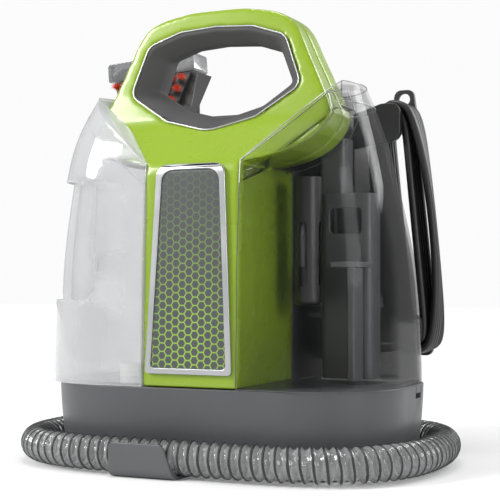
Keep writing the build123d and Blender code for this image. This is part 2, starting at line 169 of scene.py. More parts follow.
def handling_group() -> bpy.types.NodeTree:
    """Builds the smudges and hairline scratches that glossy parts pick up in use.

    Returns:
        A group from Scale to Smudge, a mask for roughness, and Scratch, a height.
    """
    tree = new_group("ShaderNodeTree", "handling_marks", {"Scale": 25.0},
                     {"Smudge": "NodeSocketFloat", "Scratch": "NodeSocketFloat"})
    sockets = tree.node("NodeGroupInput")
    place = tree.node("ShaderNodeTexCoord").outputs["Object"]
    noise = tree.node("ShaderNodeTexNoise", {"Vector": place, "Scale": sockets.outputs["Scale"], "Detail": 6.0,
                                             "Roughness": 0.6, "Distortion": 0.8})
    smudge = tree.node("ShaderNodeMapRange", {"Value": noise.outputs[0], "From Min": 0.42, "From Max": 0.72})
    stretched = tree.node("ShaderNodeMapping", {"Vector": place, "Rotation": (0.5, 0.4, 0.2),
                                                "Scale": (30.0, 900.0, 500.0)})
    hairs = tree.node("ShaderNodeTexNoise", {"Vector": stretched.outputs[0], "Scale": 1.0, "Detail": 2.0})
    scratch = tree.node("ShaderNodeMapRange", {"Value": hairs.outputs[0], "From Min": 0.62, "From Max": 0.8})
    tree.node("NodeGroupOutput", {"Smudge": smudge.outputs[0], "Scratch": scratch.outputs[0]})
    return tree.tree


def hexagon_group() -> bpy.types.NodeTree:
    """Builds a net of flat-topped hexagons on the X and Z coordinates.

    Returns:
        A group from Pitch and Line, a share of the pitch, to Net, 1 on the lines.
    """
    tree = new_group("ShaderNodeTree", "hexagon_net", {"Pitch": 0.0061, "Line": 0.09}, {"Net": "NodeSocketFloat"})
    sockets = tree.node("NodeGroupInput")
    place = tree.node("ShaderNodeTexCoord").outputs["Object"]
    split = tree.node("ShaderNodeSeparateXYZ", {0: place})
    flat = tree.node("ShaderNodeCombineXYZ", {"X": split.outputs["X"], "Y": split.outputs["Z"]})
    scaled = tree.node("ShaderNodeVectorMath", {0: flat.outputs[0]}, operation="SCALE")
    tree.tree.links.new(tree.math("DIVIDE", 1.0, sockets.outputs["Pitch"]), scaled.inputs["Scale"])
    half = (math.sqrt(3) / 2, 0.5, 1.0)
    low = tuple(-value for value in half)
    cells = []
    for start in (scaled.outputs[0], tree.vector("SUBTRACT", scaled.outputs[0], (half[0], half[1], 0.0))):
        cell = tree.vector("ABSOLUTE", tree.vector("WRAP", start, half, low))
        parts = tree.node("ShaderNodeSeparateXYZ", {0: cell})
        slanted = tree.math("ADD", tree.math("MULTIPLY", parts.outputs["X"], half[0]),
                            tree.math("MULTIPLY", parts.outputs["Y"], half[1]))
        cells.append(tree.math("MAXIMUM", slanted, parts.outputs["Y"]))
    edge = tree.math("SUBTRACT", 0.5, tree.math("MINIMUM", *cells))
    near = tree.math("MULTIPLY", sockets.outputs["Line"], 0.7)
    net = tree.node("ShaderNodeMapRange", {"Value": edge, "From Min": near, "From Max": sockets.outputs["Line"],
                                           "To Min": 1.0, "To Max": 0.0})
    tree.node("NodeGroupOutput", {"Net": net.outputs[0]})
    return tree.tree


class Effects:
    """The shader groups, each built when it is first asked for."""

    _made: dict[str, bpy.types.NodeTree] = {}
    _makers: dict[str, Callable[[], bpy.types.NodeTree]] = {
        "grain": grain_group, "handling": handling_group, "hexagons": hexagon_group}

    @classmethod
    def get(cls, name: str) -> bpy.types.NodeTree:
        """Returns the named group."""
        if name not in cls._made:
            cls._made[name] = cls._makers[name]()
        return cls._made[name]


# ---------------------------------------------------------------- finishes


def start_material(name: str) -> tuple[Tree, bpy.types.Node]:
    """Makes a material with only its Principled shader.

    Args:
        name: The material's name.

    Returns:
        The material's tree and the shader node.
    """
    material = bpy.data.materials.new(name)
    material.use_nodes = True
    tree = Tree(material.node_tree)
    shader = next(n for n in material.node_tree.nodes if n.type == "BSDF_PRINCIPLED")
    return tree, shader


@dataclass(frozen=True)
class Moulded:
    """An opaque moulding: a satin or glossy plastic, rubber or painted part."""
    name: str
    colour: Colour
    roughness: float = 0.42
    coat: float = 0.0
    metallic: float = 0.0
    grain: float = 0.00008
    mottle: float = 0.12
    grain_scale: float = 1500.0

    def build(self) -> bpy.types.Material:
        """Builds the material.

        Returns:
            The material.
        """
        tree, shader = start_material(self.name)
        grain = tree.node("ShaderNodeGroup", node_tree=Effects.get("grain"))
        grain.inputs["Scale"].default_value = self.grain_scale
        marks = tree.node("ShaderNodeGroup", node_tree=Effects.get("handling"))
        dark = tuple(value * (1 - self.mottle) for value in self.colour)
        light = tuple(min(1.0, value * (1 + self.mottle)) for value in self.colour)
        colour = tree.node("ShaderNodeMix", {"Factor": grain.outputs["Mottle"], "A": (*dark, 1), "B": (*light, 1)},
                           data_type="RGBA")
        rough = tree.node("ShaderNodeMapRange", {"Value": marks.outputs["Smudge"], "To Min": self.roughness,
                                                 "To Max": self.roughness + 0.1})
        height = tree.math("ADD", grain.outputs["Height"], tree.math("MULTIPLY", marks.outputs["Scratch"], -0.3))
        bump = tree.node("ShaderNodeBump", {"Height": height, "Distance": self.grain, "Strength": 1.0})
        tree.tree.links.new(colour.outputs["Result"], shader.inputs["Base Color"])
        tree.tree.links.new(rough.outputs[0], shader.inputs["Roughness"])
        tree.tree.links.new(bump.outputs[0], shader.inputs["Normal"])
        shader.inputs["Metallic"].default_value = self.metallic
        shader.inputs["Coat Weight"].default_value = self.coat
        shader.inputs["Coat Roughness"].default_value = 0.06
        return bpy.data.materials[self.name]


@dataclass(frozen=True)
class Clear:
    """A see-through plastic wall, denser where it is seen edge on, and, where rear is set, denser and darker towards
    the back as painted shade.
    """
    name: str
    colour: Colour
    face: float
    edge: float
    roughness: float = 0.08
    # rear is painted shade: how much denser the wall gets towards the back.
    haze: float = 0.08
    rear: float = 0.0
    passing: float = 0.8
    rim_blend: float = 0.35

    def build(self) -> bpy.types.Material:
        """Builds the material.

        Returns:
            The material.
        """
        tree, shader = start_material(self.name)
        marks = tree.node("ShaderNodeGroup", node_tree=Effects.get("handling"))
        grain = tree.node("ShaderNodeGroup", node_tree=Effects.get("grain"))
        grain.inputs["Scale"].default_value = 240.0
        rim = tree.node("ShaderNodeLayerWeight", {"Blend": self.rim_blend})
        cover = tree.node("ShaderNodeMapRange", {"Value": rim.outputs["Facing"], "To Min": self.face,
                                                 "To Max": self.edge})
        place = tree.node("ShaderNodeTexCoord").outputs["Object"]
        depth = tree.node("ShaderNodeSeparateXYZ", {0: place}).outputs["Y"]
        # Painted shade: the wall grows denser towards the back (+Y), so the back of the tank reads dark.
        behind = tree.node("ShaderNodeMapRange", {"Value": depth, "From Min": 0.01, "From Max": 0.06,
                                                  "To Max": self.rear}, interpolation_type="SMOOTHSTEP")
        smeared = tree.math("MULTIPLY", marks.outputs["Smudge"], self.haze)
        hazed = tree.math("ADD", tree.math("ADD", cover.outputs[0], smeared), behind.outputs[0])
        rough = tree.node("ShaderNodeMapRange", {"Value": marks.outputs["Smudge"], "To Min": self.roughness,
                                                 "To Max": self.roughness + 0.08})
        bump = tree.node("ShaderNodeBump", {"Height": grain.outputs["Mottle"], "Distance": 0.0004, "Strength": 0.4})
        shadow = tree.node("ShaderNodeLightPath").outputs["Is Shadow Ray"]
        kept = tree.math("SUBTRACT", 1.0, tree.math("MULTIPLY", shadow, self.passing))
        tree.tree.links.new(tree.math("MULTIPLY", hazed, kept), shader.inputs["Alpha"])
        tree.tree.links.new(rough.outputs[0], shader.inputs["Roughness"])
        tree.tree.links.new(bump.outputs[0], shader.inputs["Normal"])
        shader.inputs["Base Color"].default_value = (*self.colour, 1)
        shader.inputs["Coat Weight"].default_value = 1.0
        shader.inputs["Coat Roughness"].default_value = 0.03
        return bpy.data.materials[self.name]


@dataclass(frozen=True)
class Printed:
    """The badge panel: a net of green hexagons that fades upwards on a dark ground."""
    name: str
    ground: Colour
    line: Colour
    low: float
    high: float

    def build(self) -> bpy.types.Material:
        """Builds the material.

        Returns:
            The material.
        """
        tree, shader = start_material(self.name)
        net = tree.node("ShaderNodeGroup", node_tree=Effects.get("hexagons"))
        grain = tree.node("ShaderNodeGroup", node_tree=Effects.get("grain"))
        place = tree.node("ShaderNodeTexCoord").outputs["Object"]
        split = tree.node("ShaderNodeSeparateXYZ", {0: place})
        fade = tree.node("ShaderNodeMapRange", {"Value": split.outputs["Z"], "From Min": self.low,
                                                "From Max": self.high, "To Min": 1.0, "To Max": 0.1},
                         interpolation_type="SMOOTHSTEP")
        side = tree.math("POWER", tree.math("DIVIDE", split.outputs["X"], 0.036), 2.0)
        middle = tree.math("SUBTRACT", 1.0, tree.math("MULTIPLY", side, 0.5))
        strength = tree.math("MULTIPLY", fade.outputs[0], middle)
        inked = tree.math("MULTIPLY", net.outputs["Net"], strength)
        colour = tree.node("ShaderNodeMix", {"Factor": inked, "A": (*self.ground, 1), "B": (*self.line, 1)},
                           data_type="RGBA")
        bump = tree.node("ShaderNodeBump", {"Height": tree.math("ADD", inked, grain.outputs["Height"]),
                                            "Distance": 0.00005, "Strength": 0.6})
        tree.tree.links.new(colour.outputs["Result"], shader.inputs["Base Color"])
        tree.tree.links.new(bump.outputs[0], shader.inputs["Normal"])
        shader.inputs["Roughness"].default_value = 0.32
        shader.inputs["Coat Weight"].default_value = 0.4
        return bpy.data.materials[self.name]


Finish = Moulded | Clear | Printed

FINISHES: dict[str, Finish] = {
    "green_plastic": Moulded("lime_gloss", (0.235, 0.36, 0.012), 0.26, coat=0.35, grain=0.00001, mottle=0.03),
    "dark_plastic": Moulded("slate_satin", (0.072, 0.074, 0.080), 0.34),
    "clip_plastic": Moulded("clip_satin", (0.085, 0.088, 0.092), 0.4),
    "grip_rubber": Moulded("grip_rubber", (0.035, 0.036, 0.038), 0.5, grain=0.00012),
    "silver_trim": Moulded("silver_paint", (0.50, 0.51, 0.52), 0.28, metallic=0.8, grain=0.00001, mottle=0.04),
    "badge_plastic": Printed("hexagon_print", (0.062, 0.066, 0.068), (0.26, 0.44, 0.05), 0.085, 0.215),
    "clear_tank_plastic": Clear("clear_wall", (0.54, 0.55, 0.56), 0.26, 0.85, haze=0.04),
    # The smoked wall's rear setting paints shade onto the back of the dirty tank.
    "smoked_tank_plastic": Clear("smoked_wall", (0.030, 0.031, 0.033), 0.03, 0.5, 0.05, haze=0.01, rear=0.75,
                                 passing=0.95, rim_blend=0.13),
    "inner_grey_plastic": Moulded("separator_grey", (0.075, 0.077, 0.08), 0.3),
    "float_plastic": Moulded("float_black", (0.008, 0.008, 0.009), 0.35),
    "white_plastic": Moulded("acetal_white", (0.70, 0.70, 0.66), 0.35, mottle=0.05),
    "switch_plastic": Moulded("switch_black", (0.012, 0.012, 0.013), 0.2, coat=0.3),
    "pilot_plastic": Clear("pilot_amber", (0.8, 0.16, 0.02), 0.8, 0.95),
    "screw_steel": Moulded("zinc_steel", (0.45, 0.45, 0.46), 0.3, metallic=1.0, grain=0.00003),
    "foot_rubber": Moulded("foot_rubber", (0.02, 0.02, 0.02), 0.7, grain=0.0002),
    "hose_plastic": Clear("hose_film", (0.34, 0.35, 0.35), 0.42, 0.85, 0.14, haze=0.1),
    "cuff_plastic": Moulded("cuff_black", (0.018, 0.018, 0.019), 0.35),
    "tool_clear_plastic": Clear("tool_clear", (0.12, 0.125, 0.13), 0.6, 0.9),
    "bristle_nylon": Moulded("bristle_red", (0.80, 0.07, 0.025), 0.4, grain=0.00002),
    "lead_rubber": Moulded("lead_black", (0.012, 0.012, 0.012), 0.42, grain=0.00004),
    "pin_brass": Moulded("pin_nickel", (0.62, 0.58, 0.45), 0.25, metallic=1.0, grain=0.00001),
    "motor_steel": Moulded("motor_steel", (0.33, 0.33, 0.34), 0.35, metallic=1.0),
    "heater_metal": Moulded("cast_aluminium", (0.5, 0.5, 0.51), 0.45, metallic=1.0, grain=0.0003),
    "pipe_silicone": Moulded("silicone_tube", (0.62, 0.62, 0.56), 0.45),
}


def material_of(slot: str) -> bpy.types.Material:
    """Returns the finish of a material slot, built once."""
    finish = FINISHES[slot]
    return bpy.data.materials.get(finish.name) or finish.build()


# ---------------------------------------------------------------- making pieces


def slot_of(node: str) -> str:
    """Returns the record's material slot of a CAD node."""
    return next(s["material_slot"] for s in frame["record"]["subparts"] if s["node"] == node)


def body_of(node: str) -> str:
    """Returns the CAD body that a node rides on."""
    return frame["nodes"][node]["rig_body"]


def mesh_piece(name: str, mesh: bpy.types.Mesh) -> bpy.types.Object:
    """Makes an object from a mesh and links it to the scene."""
    piece = bpy.data.objects.new(name, mesh)
    bpy.context.scene.collection.objects.link(piece)
    return piece


def bake(piece: bpy.types.Object) -> bpy.types.Object:
    """Turns a mesh object's modifiers into its mesh and removes them.

    Args:
        piece: The object.

    Returns:
        The same object.
    """
    graph = bpy.context.evaluated_depsgraph_get()
    mesh = bpy.data.meshes.new_from_object(piece.evaluated_get(graph), depsgraph=graph)
    piece.modifiers.clear()
    piece.data = mesh
    return piece


def dress(piece: bpy.types.Object, slot: str, body: str) -> bpy.types.Object:
    """Gives a piece its finish and makes it ride.

    Args:
        piece: The piece, already in place.
        slot: The record's material slot.
        body: The CAD body that it rides on.

    Returns:
        The piece.
    """
    piece.data.materials.clear()
    piece.data.materials.append(material_of(slot))
    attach(piece, body)
    log.info("%s on %s, %d faces", piece.name, body, len(getattr(piece.data, "polygons", ())))
    return piece


def merged_copy(node: str, name: str) -> bpy.types.Object:
    """Copies a CAD node's mesh with its loose triangles joined and its flat faces whole.

    Args:
        node: The CAD node.
        name: The new piece's name.

    Returns:
        The new piece.
    """
    mesh = frame["nodes"][node].data.copy()
    work = bmesh.new()
    work.from_mesh(mesh)
    bmesh.ops.remove_doubles(work, verts=work.verts, dist=2e-6)
    bmesh.ops.dissolve_limit(work, angle_limit=math.radians(0.4), verts=work.verts, edges=work.edges)
    work.to_mesh(mesh)
    work.free()
    return mesh_piece(name, mesh)


def shade(piece: bpy.types.Object, angle: float = 32.0) -> bpy.types.Object:
    """Shades a piece smooth, with sharp edges past an angle in degrees."""
    piece.data.shade_smooth()
    piece.data.set_sharp_from_angle(angle=math.radians(angle))
    return piece


def moulding(node: str, rounding: Rounding = Rounding.BEVEL, size: float = 0.6 * MM,
             angle: float = 32.0) -> bpy.types.Object:
    """Makes the finished piece that stands for a CAD node.

    Args:
        node: The CAD node.
        rounding: How its edges are rounded.
        size: The bevel's width, or the remesh's voxel.
        angle: Edges that turn by more than this, in degrees, are edges and not facets.

    Returns:
        The finished piece.
    """
    piece = merged_copy(node, f"{node}_finished")
    if rounding is Rounding.BEVEL:
        bevel = piece.modifiers.new("edges", "BEVEL")
        bevel.width, bevel.segments = size, 2
        bevel.limit_method, bevel.angle_limit = "ANGLE", math.radians(angle)
        bevel.use_clamp_overlap = False
        bevel.harden_normals = True
        shade(piece, angle)
        bake(piece)
    elif rounding is Rounding.REMESH:
        remesh = piece.modifiers.new("skin", "REMESH")
        remesh.mode, remesh.voxel_size, remesh.use_smooth_shade = "VOXEL", size, True
        smooth = piece.modifiers.new("soften", "SMOOTH")
        smooth.factor, smooth.iterations = 0.5, 10
        bake(piece)
        piece.data.shade_smooth()
    else:
        shade(piece, angle)
    dress(piece, slot_of(node), body_of(node))
    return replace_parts(piece, node)


def route_points(points: Sequence[Point], resolution: int = 12) -> list[Vector]:
    """Reads the smooth line of a route.

    Args:
        points: The control points of a quadratic NURBS spline, in metres.
        resolution: Steps for each span.

    Returns:
        Points along the line, in order.
    """
    curve = bpy.data.objects.new("route", nurbs_curve("route", points, resolution))
    bpy.context.scene.collection.objects.link(curve)
    graph = bpy.context.evaluated_depsgraph_get()
    mesh = bpy.data.meshes.new_from_object(curve.evaluated_get(graph), depsgraph=graph)
    line = [vertex.co.copy() for vertex in mesh.vertices]
    bpy.data.objects.remove(curve)
    return line


def nurbs_curve(name: str, points: Sequence[Point], resolution: int = 12, radius: float = 0.0) -> bpy.types.Curve:
    """Makes a curve of one open quadratic NURBS spline.

    Args:
        name: The curve's name.
        points: Its control points.
        resolution: Steps for each span.
        radius: The bevel's radius, or 0 for a bare line.

    Returns:
        The curve.
    """
    curve = bpy.data.curves.new(name, "CURVE")
    curve.dimensions = "3D"
    spline = curve.splines.new("NURBS")
    spline.points.add(len(points) - 1)
    for target, point in zip(spline.points, points):
        target.co = (*point, 1.0)
    spline.order_u = 3
    spline.use_endpoint_u = True
    spline.resolution_u = curve.resolution_u = resolution
    if radius:
        curve.bevel_depth, curve.bevel_resolution, curve.use_fill_caps = radius, 3, True
    return curve


def line_mesh(name: str, points: Iterable[Vector], joined: bool = True) -> bpy.types.Object:
    """Makes an object of bare points, joined in a line or not."""
    points = list(points)
    mesh = bpy.data.meshes.new(name)
    edges = [(i, i + 1) for i in range(len(points) - 1)] if joined else []
    mesh.from_pydata(points, edges, [])
    return mesh_piece(name, mesh)


def run_tree(piece: bpy.types.Object, tree: bpy.types.NodeTree, values: dict[str, object]) -> bpy.types.Object:
    """Runs a geometry tree on a piece and keeps the result as its mesh.

    Args:
        piece: The object that holds the tree's starting geometry.
        tree: The tree.
        values: Its inputs by name.

    Returns:
        The same object as a plain mesh.
    """
    modifier = piece.modifiers.new("pattern", "NODES")
    modifier.node_group = tree
    for item in tree.interface.items_tree:
        if item.item_type == "SOCKET" and item.in_out == "INPUT" and item.name in values:
            modifier[item.identifier] = values[item.name]
    piece.update_tag()
    bpy.context.view_layer.update()
    return bake(piece)


def end_tree(tree: Tree, geometry: bpy.types.NodeSocket, material: bpy.types.NodeSocket) -> None:
    """Ends a geometry tree: real geometry, smooth, with its material."""
    real = tree.node("GeometryNodeRealizeInstances", {"Geometry": geometry})
    smooth = tree.node("GeometryNodeSetShadeSmooth", {0: real.outputs[0]})
    painted = tree.node("GeometryNodeSetMaterial", {"Geometry": smooth.outputs[0], "Material": material})
    tree.node("NodeGroupOutput", {0: painted.outputs[0]})


GEOMETRY = "NodeSocketGeometry"
MATERIAL = "NodeSocketMaterial"


def hose_wall_tree() -> bpy.types.NodeTree:
    """Builds the tree of a helically ribbed wall along a line.

    Returns:
        A tree with Radius, Depth and Pitch.
    """
    tree = new_group("GeometryNodeTree", "ribbed_wall", {
        "Line": GEOMETRY, "Radius": 0.0125, "Depth": 0.002, "Pitch": 0.008, "Sides": 28, "Material": MATERIAL},
        {"Mesh": GEOMETRY})
    given = tree.node("NodeGroupInput").outputs
    line = tree.node("GeometryNodeMeshToCurve", {0: given["Line"]})
    step = tree.math("DIVIDE", given["Pitch"], 8.0)
    even = tree.node("GeometryNodeResampleCurve", {"Curve": line.outputs[0], "Length": step}, mode="LENGTH")
    along = tree.node("GeometryNodeSplineParameter")
    marked = tree.node("GeometryNodeCaptureAttribute", domain="POINT")
    marked.capture_items.new("FLOAT", "Along")
    marked.capture_items.new("VECTOR", "Centre")
    position = tree.node("GeometryNodeInputPosition").outputs[0]
    for source, target in ((even.outputs[0], 0), (along.outputs["Length"], "Along"), (position, "Centre")):
        tree.tree.links.new(source, marked.inputs[target])
    circle = tree.node("GeometryNodeCurvePrimitiveCircle", {"Resolution": given["Sides"], "Radius": given["Radius"]})
    turned = tree.node("GeometryNodeCaptureAttribute", domain="POINT")
    turned.capture_items.new("FLOAT", "Turn")
    around = tree.node("GeometryNodeSplineParameter")
    tree.tree.links.new(circle.outputs["Curve"], turned.inputs[0])
    tree.tree.links.new(around.outputs["Factor"], turned.inputs["Turn"])
    wall = tree.node("GeometryNodeCurveToMesh", {"Curve": marked.outputs[0], "Profile Curve": turned.outputs[0]})
    turns = tree.math("DIVIDE", marked.outputs["Along"], given["Pitch"])
    phase = tree.math("SUBTRACT", turns, turned.outputs["Turn"])
    wave = tree.math("COSINE", tree.math("MULTIPLY", phase, math.tau))
    dip = tree.math("MULTIPLY", tree.math("SUBTRACT", wave, 1.0), tree.math("MULTIPLY", given["Depth"], 0.5))
    outward = tree.vector("NORMALIZE", tree.vector("SUBTRACT", position, marked.outputs["Centre"]))
    shift = tree.node("ShaderNodeVectorMath", {0: outward}, operation="SCALE")
    tree.tree.links.new(dip, shift.inputs["Scale"])
    formed = tree.node("GeometryNodeSetPosition", {"Geometry": wall.outputs[0], "Offset": shift.outputs[0]})
    end_tree(tree, formed.outputs[0], given["Material"])
    return tree.tree


def spiral_tree() -> bpy.types.NodeTree:
    """Builds the tree of a round wire wound along a line.

    Returns:
        A tree with Radius, of the winding, Wire, its own radius, and Pitch.
    """
    tree = new_group("GeometryNodeTree", "wound_wire", {
        "Line": GEOMETRY, "Radius": 0.0118, "Wire": 0.001, "Pitch": 0.008, "Material": MATERIAL},
        {"Mesh": GEOMETRY})
    given = tree.node("NodeGroupInput").outputs
    line = tree.node("GeometryNodeMeshToCurve", {0: given["Line"]})
    step = tree.math("DIVIDE", given["Pitch"], 20.0)
    even = tree.node("GeometryNodeResampleCurve", {"Curve": line.outputs[0], "Length": step}, mode="LENGTH")
    along = tree.node("GeometryNodeSplineParameter").outputs["Length"]
    angle = tree.math("MULTIPLY", tree.math("DIVIDE", along, given["Pitch"]), math.tau)
    spoke = tree.node("ShaderNodeVectorRotate", {
        "Vector": tree.node("GeometryNodeInputNormal").outputs[0],
        "Axis": tree.node("GeometryNodeInputTangent").outputs[0], "Angle": angle}, rotation_type="AXIS_ANGLE")
    shift = tree.node("ShaderNodeVectorMath", {0: spoke.outputs[0]}, operation="SCALE")
    tree.tree.links.new(given["Radius"], shift.inputs["Scale"])
    wound = tree.node("GeometryNodeSetPosition", {"Geometry": even.outputs[0], "Offset": shift.outputs[0]})
    section = tree.node("GeometryNodeCurvePrimitiveCircle", {"Resolution": 6, "Radius": given["Wire"]})
    wire = tree.node("GeometryNodeCurveToMesh", {"Curve": wound.outputs[0], "Profile Curve": section.outputs["Curve"],
                                                 "Fill Caps": True})
    end_tree(tree, wire.outputs[0], given["Material"])
    return tree.tree


def bristle_tree() -> bpy.types.NodeTree:
    """Builds the tree of tufts of bristles that stand along -Y on loose points.

    Returns:
        A tree with Tuft, a tuft's radius, Bristle, a bristle's radius, Length, Count and Seed.
    """
    tree = new_group("GeometryNodeTree", "bristle_tufts", {
        "Roots": GEOMETRY, "Tuft": 0.0028, "Bristle": 0.00022, "Length": 0.0075, "Density": 2200000.0, "Seed": 4,
        "Material": MATERIAL}, {"Mesh": GEOMETRY})
    given = tree.node("NodeGroupInput").outputs
    disc = tree.node("GeometryNodeMeshCircle", {"Vertices": 12, "Radius": given["Tuft"]}, fill_type="TRIANGLE_FAN")
    upright = (math.pi / 2, 0.0, 0.0)
    discs = tree.node("GeometryNodeInstanceOnPoints", {
        "Points": given["Roots"], "Instance": disc.outputs[0], "Rotation": upright})
    loose = tree.node("GeometryNodeRealizeInstances", {"Geometry": discs.outputs[0]})
    roots = tree.node("GeometryNodeDistributePointsOnFaces", {
        "Mesh": loose.outputs[0], "Density": given["Density"], "Seed": given["Seed"]})
    tip = tree.math("MULTIPLY", given["Bristle"], 0.6)
    stem = tree.node("GeometryNodeMeshCone", {"Vertices": 5, "Radius Top": tip,
                                              "Radius Bottom": given["Bristle"], "Depth": given["Length"]})
    lean = tree.node("FunctionNodeRandomValue", {"Seed": given["Seed"]}, data_type="FLOAT_VECTOR")
    lean.inputs["Min"].default_value = (math.pi / 2 - 0.1, -0.1, -0.1)
    lean.inputs["Max"].default_value = (math.pi / 2 + 0.1, 0.1, 0.1)
    bristles = tree.node("GeometryNodeInstanceOnPoints", {
        "Points": roots.outputs[0], "Instance": stem.outputs[0], "Rotation": lean.outputs[0]})
    end_tree(tree, bristles.outputs[0], given["Material"])
    return tree.tree


def edge_line_tree() -> bpy.types.NodeTree:
    """Builds the tree that lays a thin round line along a set of edges."""
    tree = new_group("GeometryNodeTree", "edge_line", {"Line": GEOMETRY, "Radius": 0.001, "Material": MATERIAL},
                     {"Mesh": GEOMETRY})
    given = tree.node("NodeGroupInput").outputs
    line = tree.node("GeometryNodeMeshToCurve", {0: given["Line"]})
    section = tree.node("GeometryNodeCurvePrimitiveCircle", {"Resolution": 8, "Radius": given["Radius"]})
    wire = tree.node("GeometryNodeCurveToMesh", {"Curve": line.outputs[0], "Profile Curve": section.outputs["Curve"],
                                                 "Fill Caps": True})
    end_tree(tree, wire.outputs[0], given["Material"])
    return tree.tree


def edge_line(node: str, name: str, wanted: Callable[[bmesh.types.BMEdge], bool], radius: float,
              slot: str) -> bpy.types.Object:
    """Lays a thin line along some edges of a CAD node.

    Args:
        node: The CAD node.
        name: The new piece's name.
        wanted: Says which edges get the line.
        radius: The line's radius.
        slot: The record's material slot.

    Returns:
        The finished piece, riding on the node's body.
    """
    source = merged_copy(node, f"{name}_source")
    work = bmesh.new()
    work.from_mesh(source.data)
    kept = [edge for edge in work.edges if len(edge.link_faces) == 2 and wanted(edge)]
    places: dict[bmesh.types.BMVert, int] = {}
    for edge in kept:
        for vertex in edge.verts:
            places.setdefault(vertex, len(places))
    mesh = bpy.data.meshes.new(name)
    mesh.from_pydata([v.co[:] for v in places], [[places[v] for v in edge.verts] for edge in kept], [])
    work.free()
    bpy.data.objects.remove(source)
    tree = bpy.data.node_groups.get("edge_line") or edge_line_tree()
    piece = run_tree(mesh_piece(name, mesh), tree, {"Radius": radius, "Material": material_of(slot)})
    return dress(piece, slot, body_of(node))


# ---------------------------------------------------------------- sub-assemblies


@dataclass
class GreenShell:
    """The green column and handle, the dark grip lining, a silver line along its rim painted as a highlight, and the
    badge.
    """
    voxel: float = 1.5 * MM
    grip_voxel: float = 1.3 * MM
    rim_highlight_radius: float = 0.6 * MM

    def rim(self) -> bpy.types.Object:
        """Makes the silver line between the shell and the grip lining, a painted highlight along the rim.

        Returns:
            The finished piece.
        """
        low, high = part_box("handle_grip")
        middle = (low + high) / 2

        def borders_shell(edge: bmesh.types.BMEdge) -> bool:
            """Tells whether an edge lies where the lining's front meets its outer side."""
            away = (edge.verts[0].co - middle) * Vector((1, 0, 1))
            normals = [face.normal for face in edge.link_faces]
            front = any(n.y < -0.55 for n in normals)
            return front and any(abs(n.y) < 0.3 and n.dot(away) > 0 for n in normals)

        # Painted highlight: a thin silver line where the rim of the grip catches the light.
        return edge_line("handle_grip", "grip_rim_highlight", borders_shell, self.rim_highlight_radius, "silver_trim")

    def build(self) -> None:
        """Makes every piece of the shell."""
        moulding("front_shell", Rounding.REMESH, self.voxel)
        moulding("handle_rear", Rounding.REMESH, self.voxel)
        moulding("handle_grip", Rounding.REMESH, self.grip_voxel)
        moulding("badge_frame", size=0.7 * MM)
        moulding("badge_panel", size=0.2 * MM)
        self.rim()


@dataclass
class Tanks:
    """The clean and dirty water tanks with what is in them, and thin lines along their corners painted as highlights.
    """
    highlight_line_radius: float = 0.35 * MM
    sharp: float = math.radians(35)
    shelf_slope: Point = (-0.585, -0.219, 0.781)
    filler: tuple[float, float] = (-84 * MM, -12 * MM)
    filler_room: float = 20 * MM

    def edges(self, node: str, side: int, slot: str) -> None:
        """Draws the moulded corners of one tank piece as thin lines, painted highlights where the corners catch the
        light.

        Args:
            node: The CAD node.
            side: 1 for the tank on +X, -1 for the one on -X.
            slot: The record's material slot of the painted highlight lines.
        """
        slope = Vector((side * self.shelf_slope[0], *self.shelf_slope[1:]))
        is_top = node.endswith("_top")

        def is_corner(edge: bmesh.types.BMEdge) -> bool:
            """Tells whether an edge is an outer corner and not part of the joint with the lid."""
            if not edge.is_convex or edge.calc_face_angle() < self.sharp:
                return False
            facing = [face.normal.dot(slope) for face in edge.link_faces]
            joint = min(facing) < -0.95 or (not is_top and max(facing) > 0.95)
            place = edge.verts[0].co
            near = math.dist(place.xy, self.filler) < self.filler_room
            return not joint and not near

        edge_line(node, f"{node}_edges", is_corner, self.highlight_line_radius, slot)

    def build(self) -> None:
        """Makes every piece of the two tanks."""
        for node in ("clean_tank", "clean_tank_top", "dirty_tank", "dirty_tank_top"):
            moulding(node, Rounding.NONE, angle=40.0)
        # Painted highlights along the tank corners: clear lines on the clean tank, grey lines on the dirty tank and
        # silver lines on its top.
        for node, side, slot in (
            ("clean_tank", -1, "clear_tank_plastic"),
            ("clean_tank_top", -1, "clear_tank_plastic"),
            ("dirty_tank", 1, "inner_grey_plastic"),
            ("dirty_tank_top", 1, "silver_trim"),
        ):
            self.edges(node, side, slot)
        for node in ("separator_stack", "inlet_duct", "baffle", "float_cage"):
            moulding(node, size=0.5 * MM)
        for node in ("float", "filler_cap", "filler_valve"):
            moulding(node, size=0.4 * MM)


@dataclass
class Base:
    """The base housing with its tray, feet, catch and hose clip."""
    edge: float = 0.8 * MM

    def build(self) -> None:
        """Makes every piece of the base."""
        moulding("base_housing", size=self.edge)
        moulding("front_hose_clip", size=0.6 * MM)
        for node in ("base_tray", "tank_catch", "feet"):
            moulding(node, size=0.4 * MM)


@dataclass
class RearTower:
    """The dark tower behind the column with its switches, cover and screws."""
    edge: float = 0.6 * MM

    def build(self) -> None:
        """Makes every piece of the tower."""
        for node in ("rear_tower", "tower_cap", "rear_cover", "power_switch", "heat_switch"):
            moulding(node, size=self.edge)
        for node in ("pilot_lens", "cover_screws"):
            moulding(node, size=0.25 * MM)


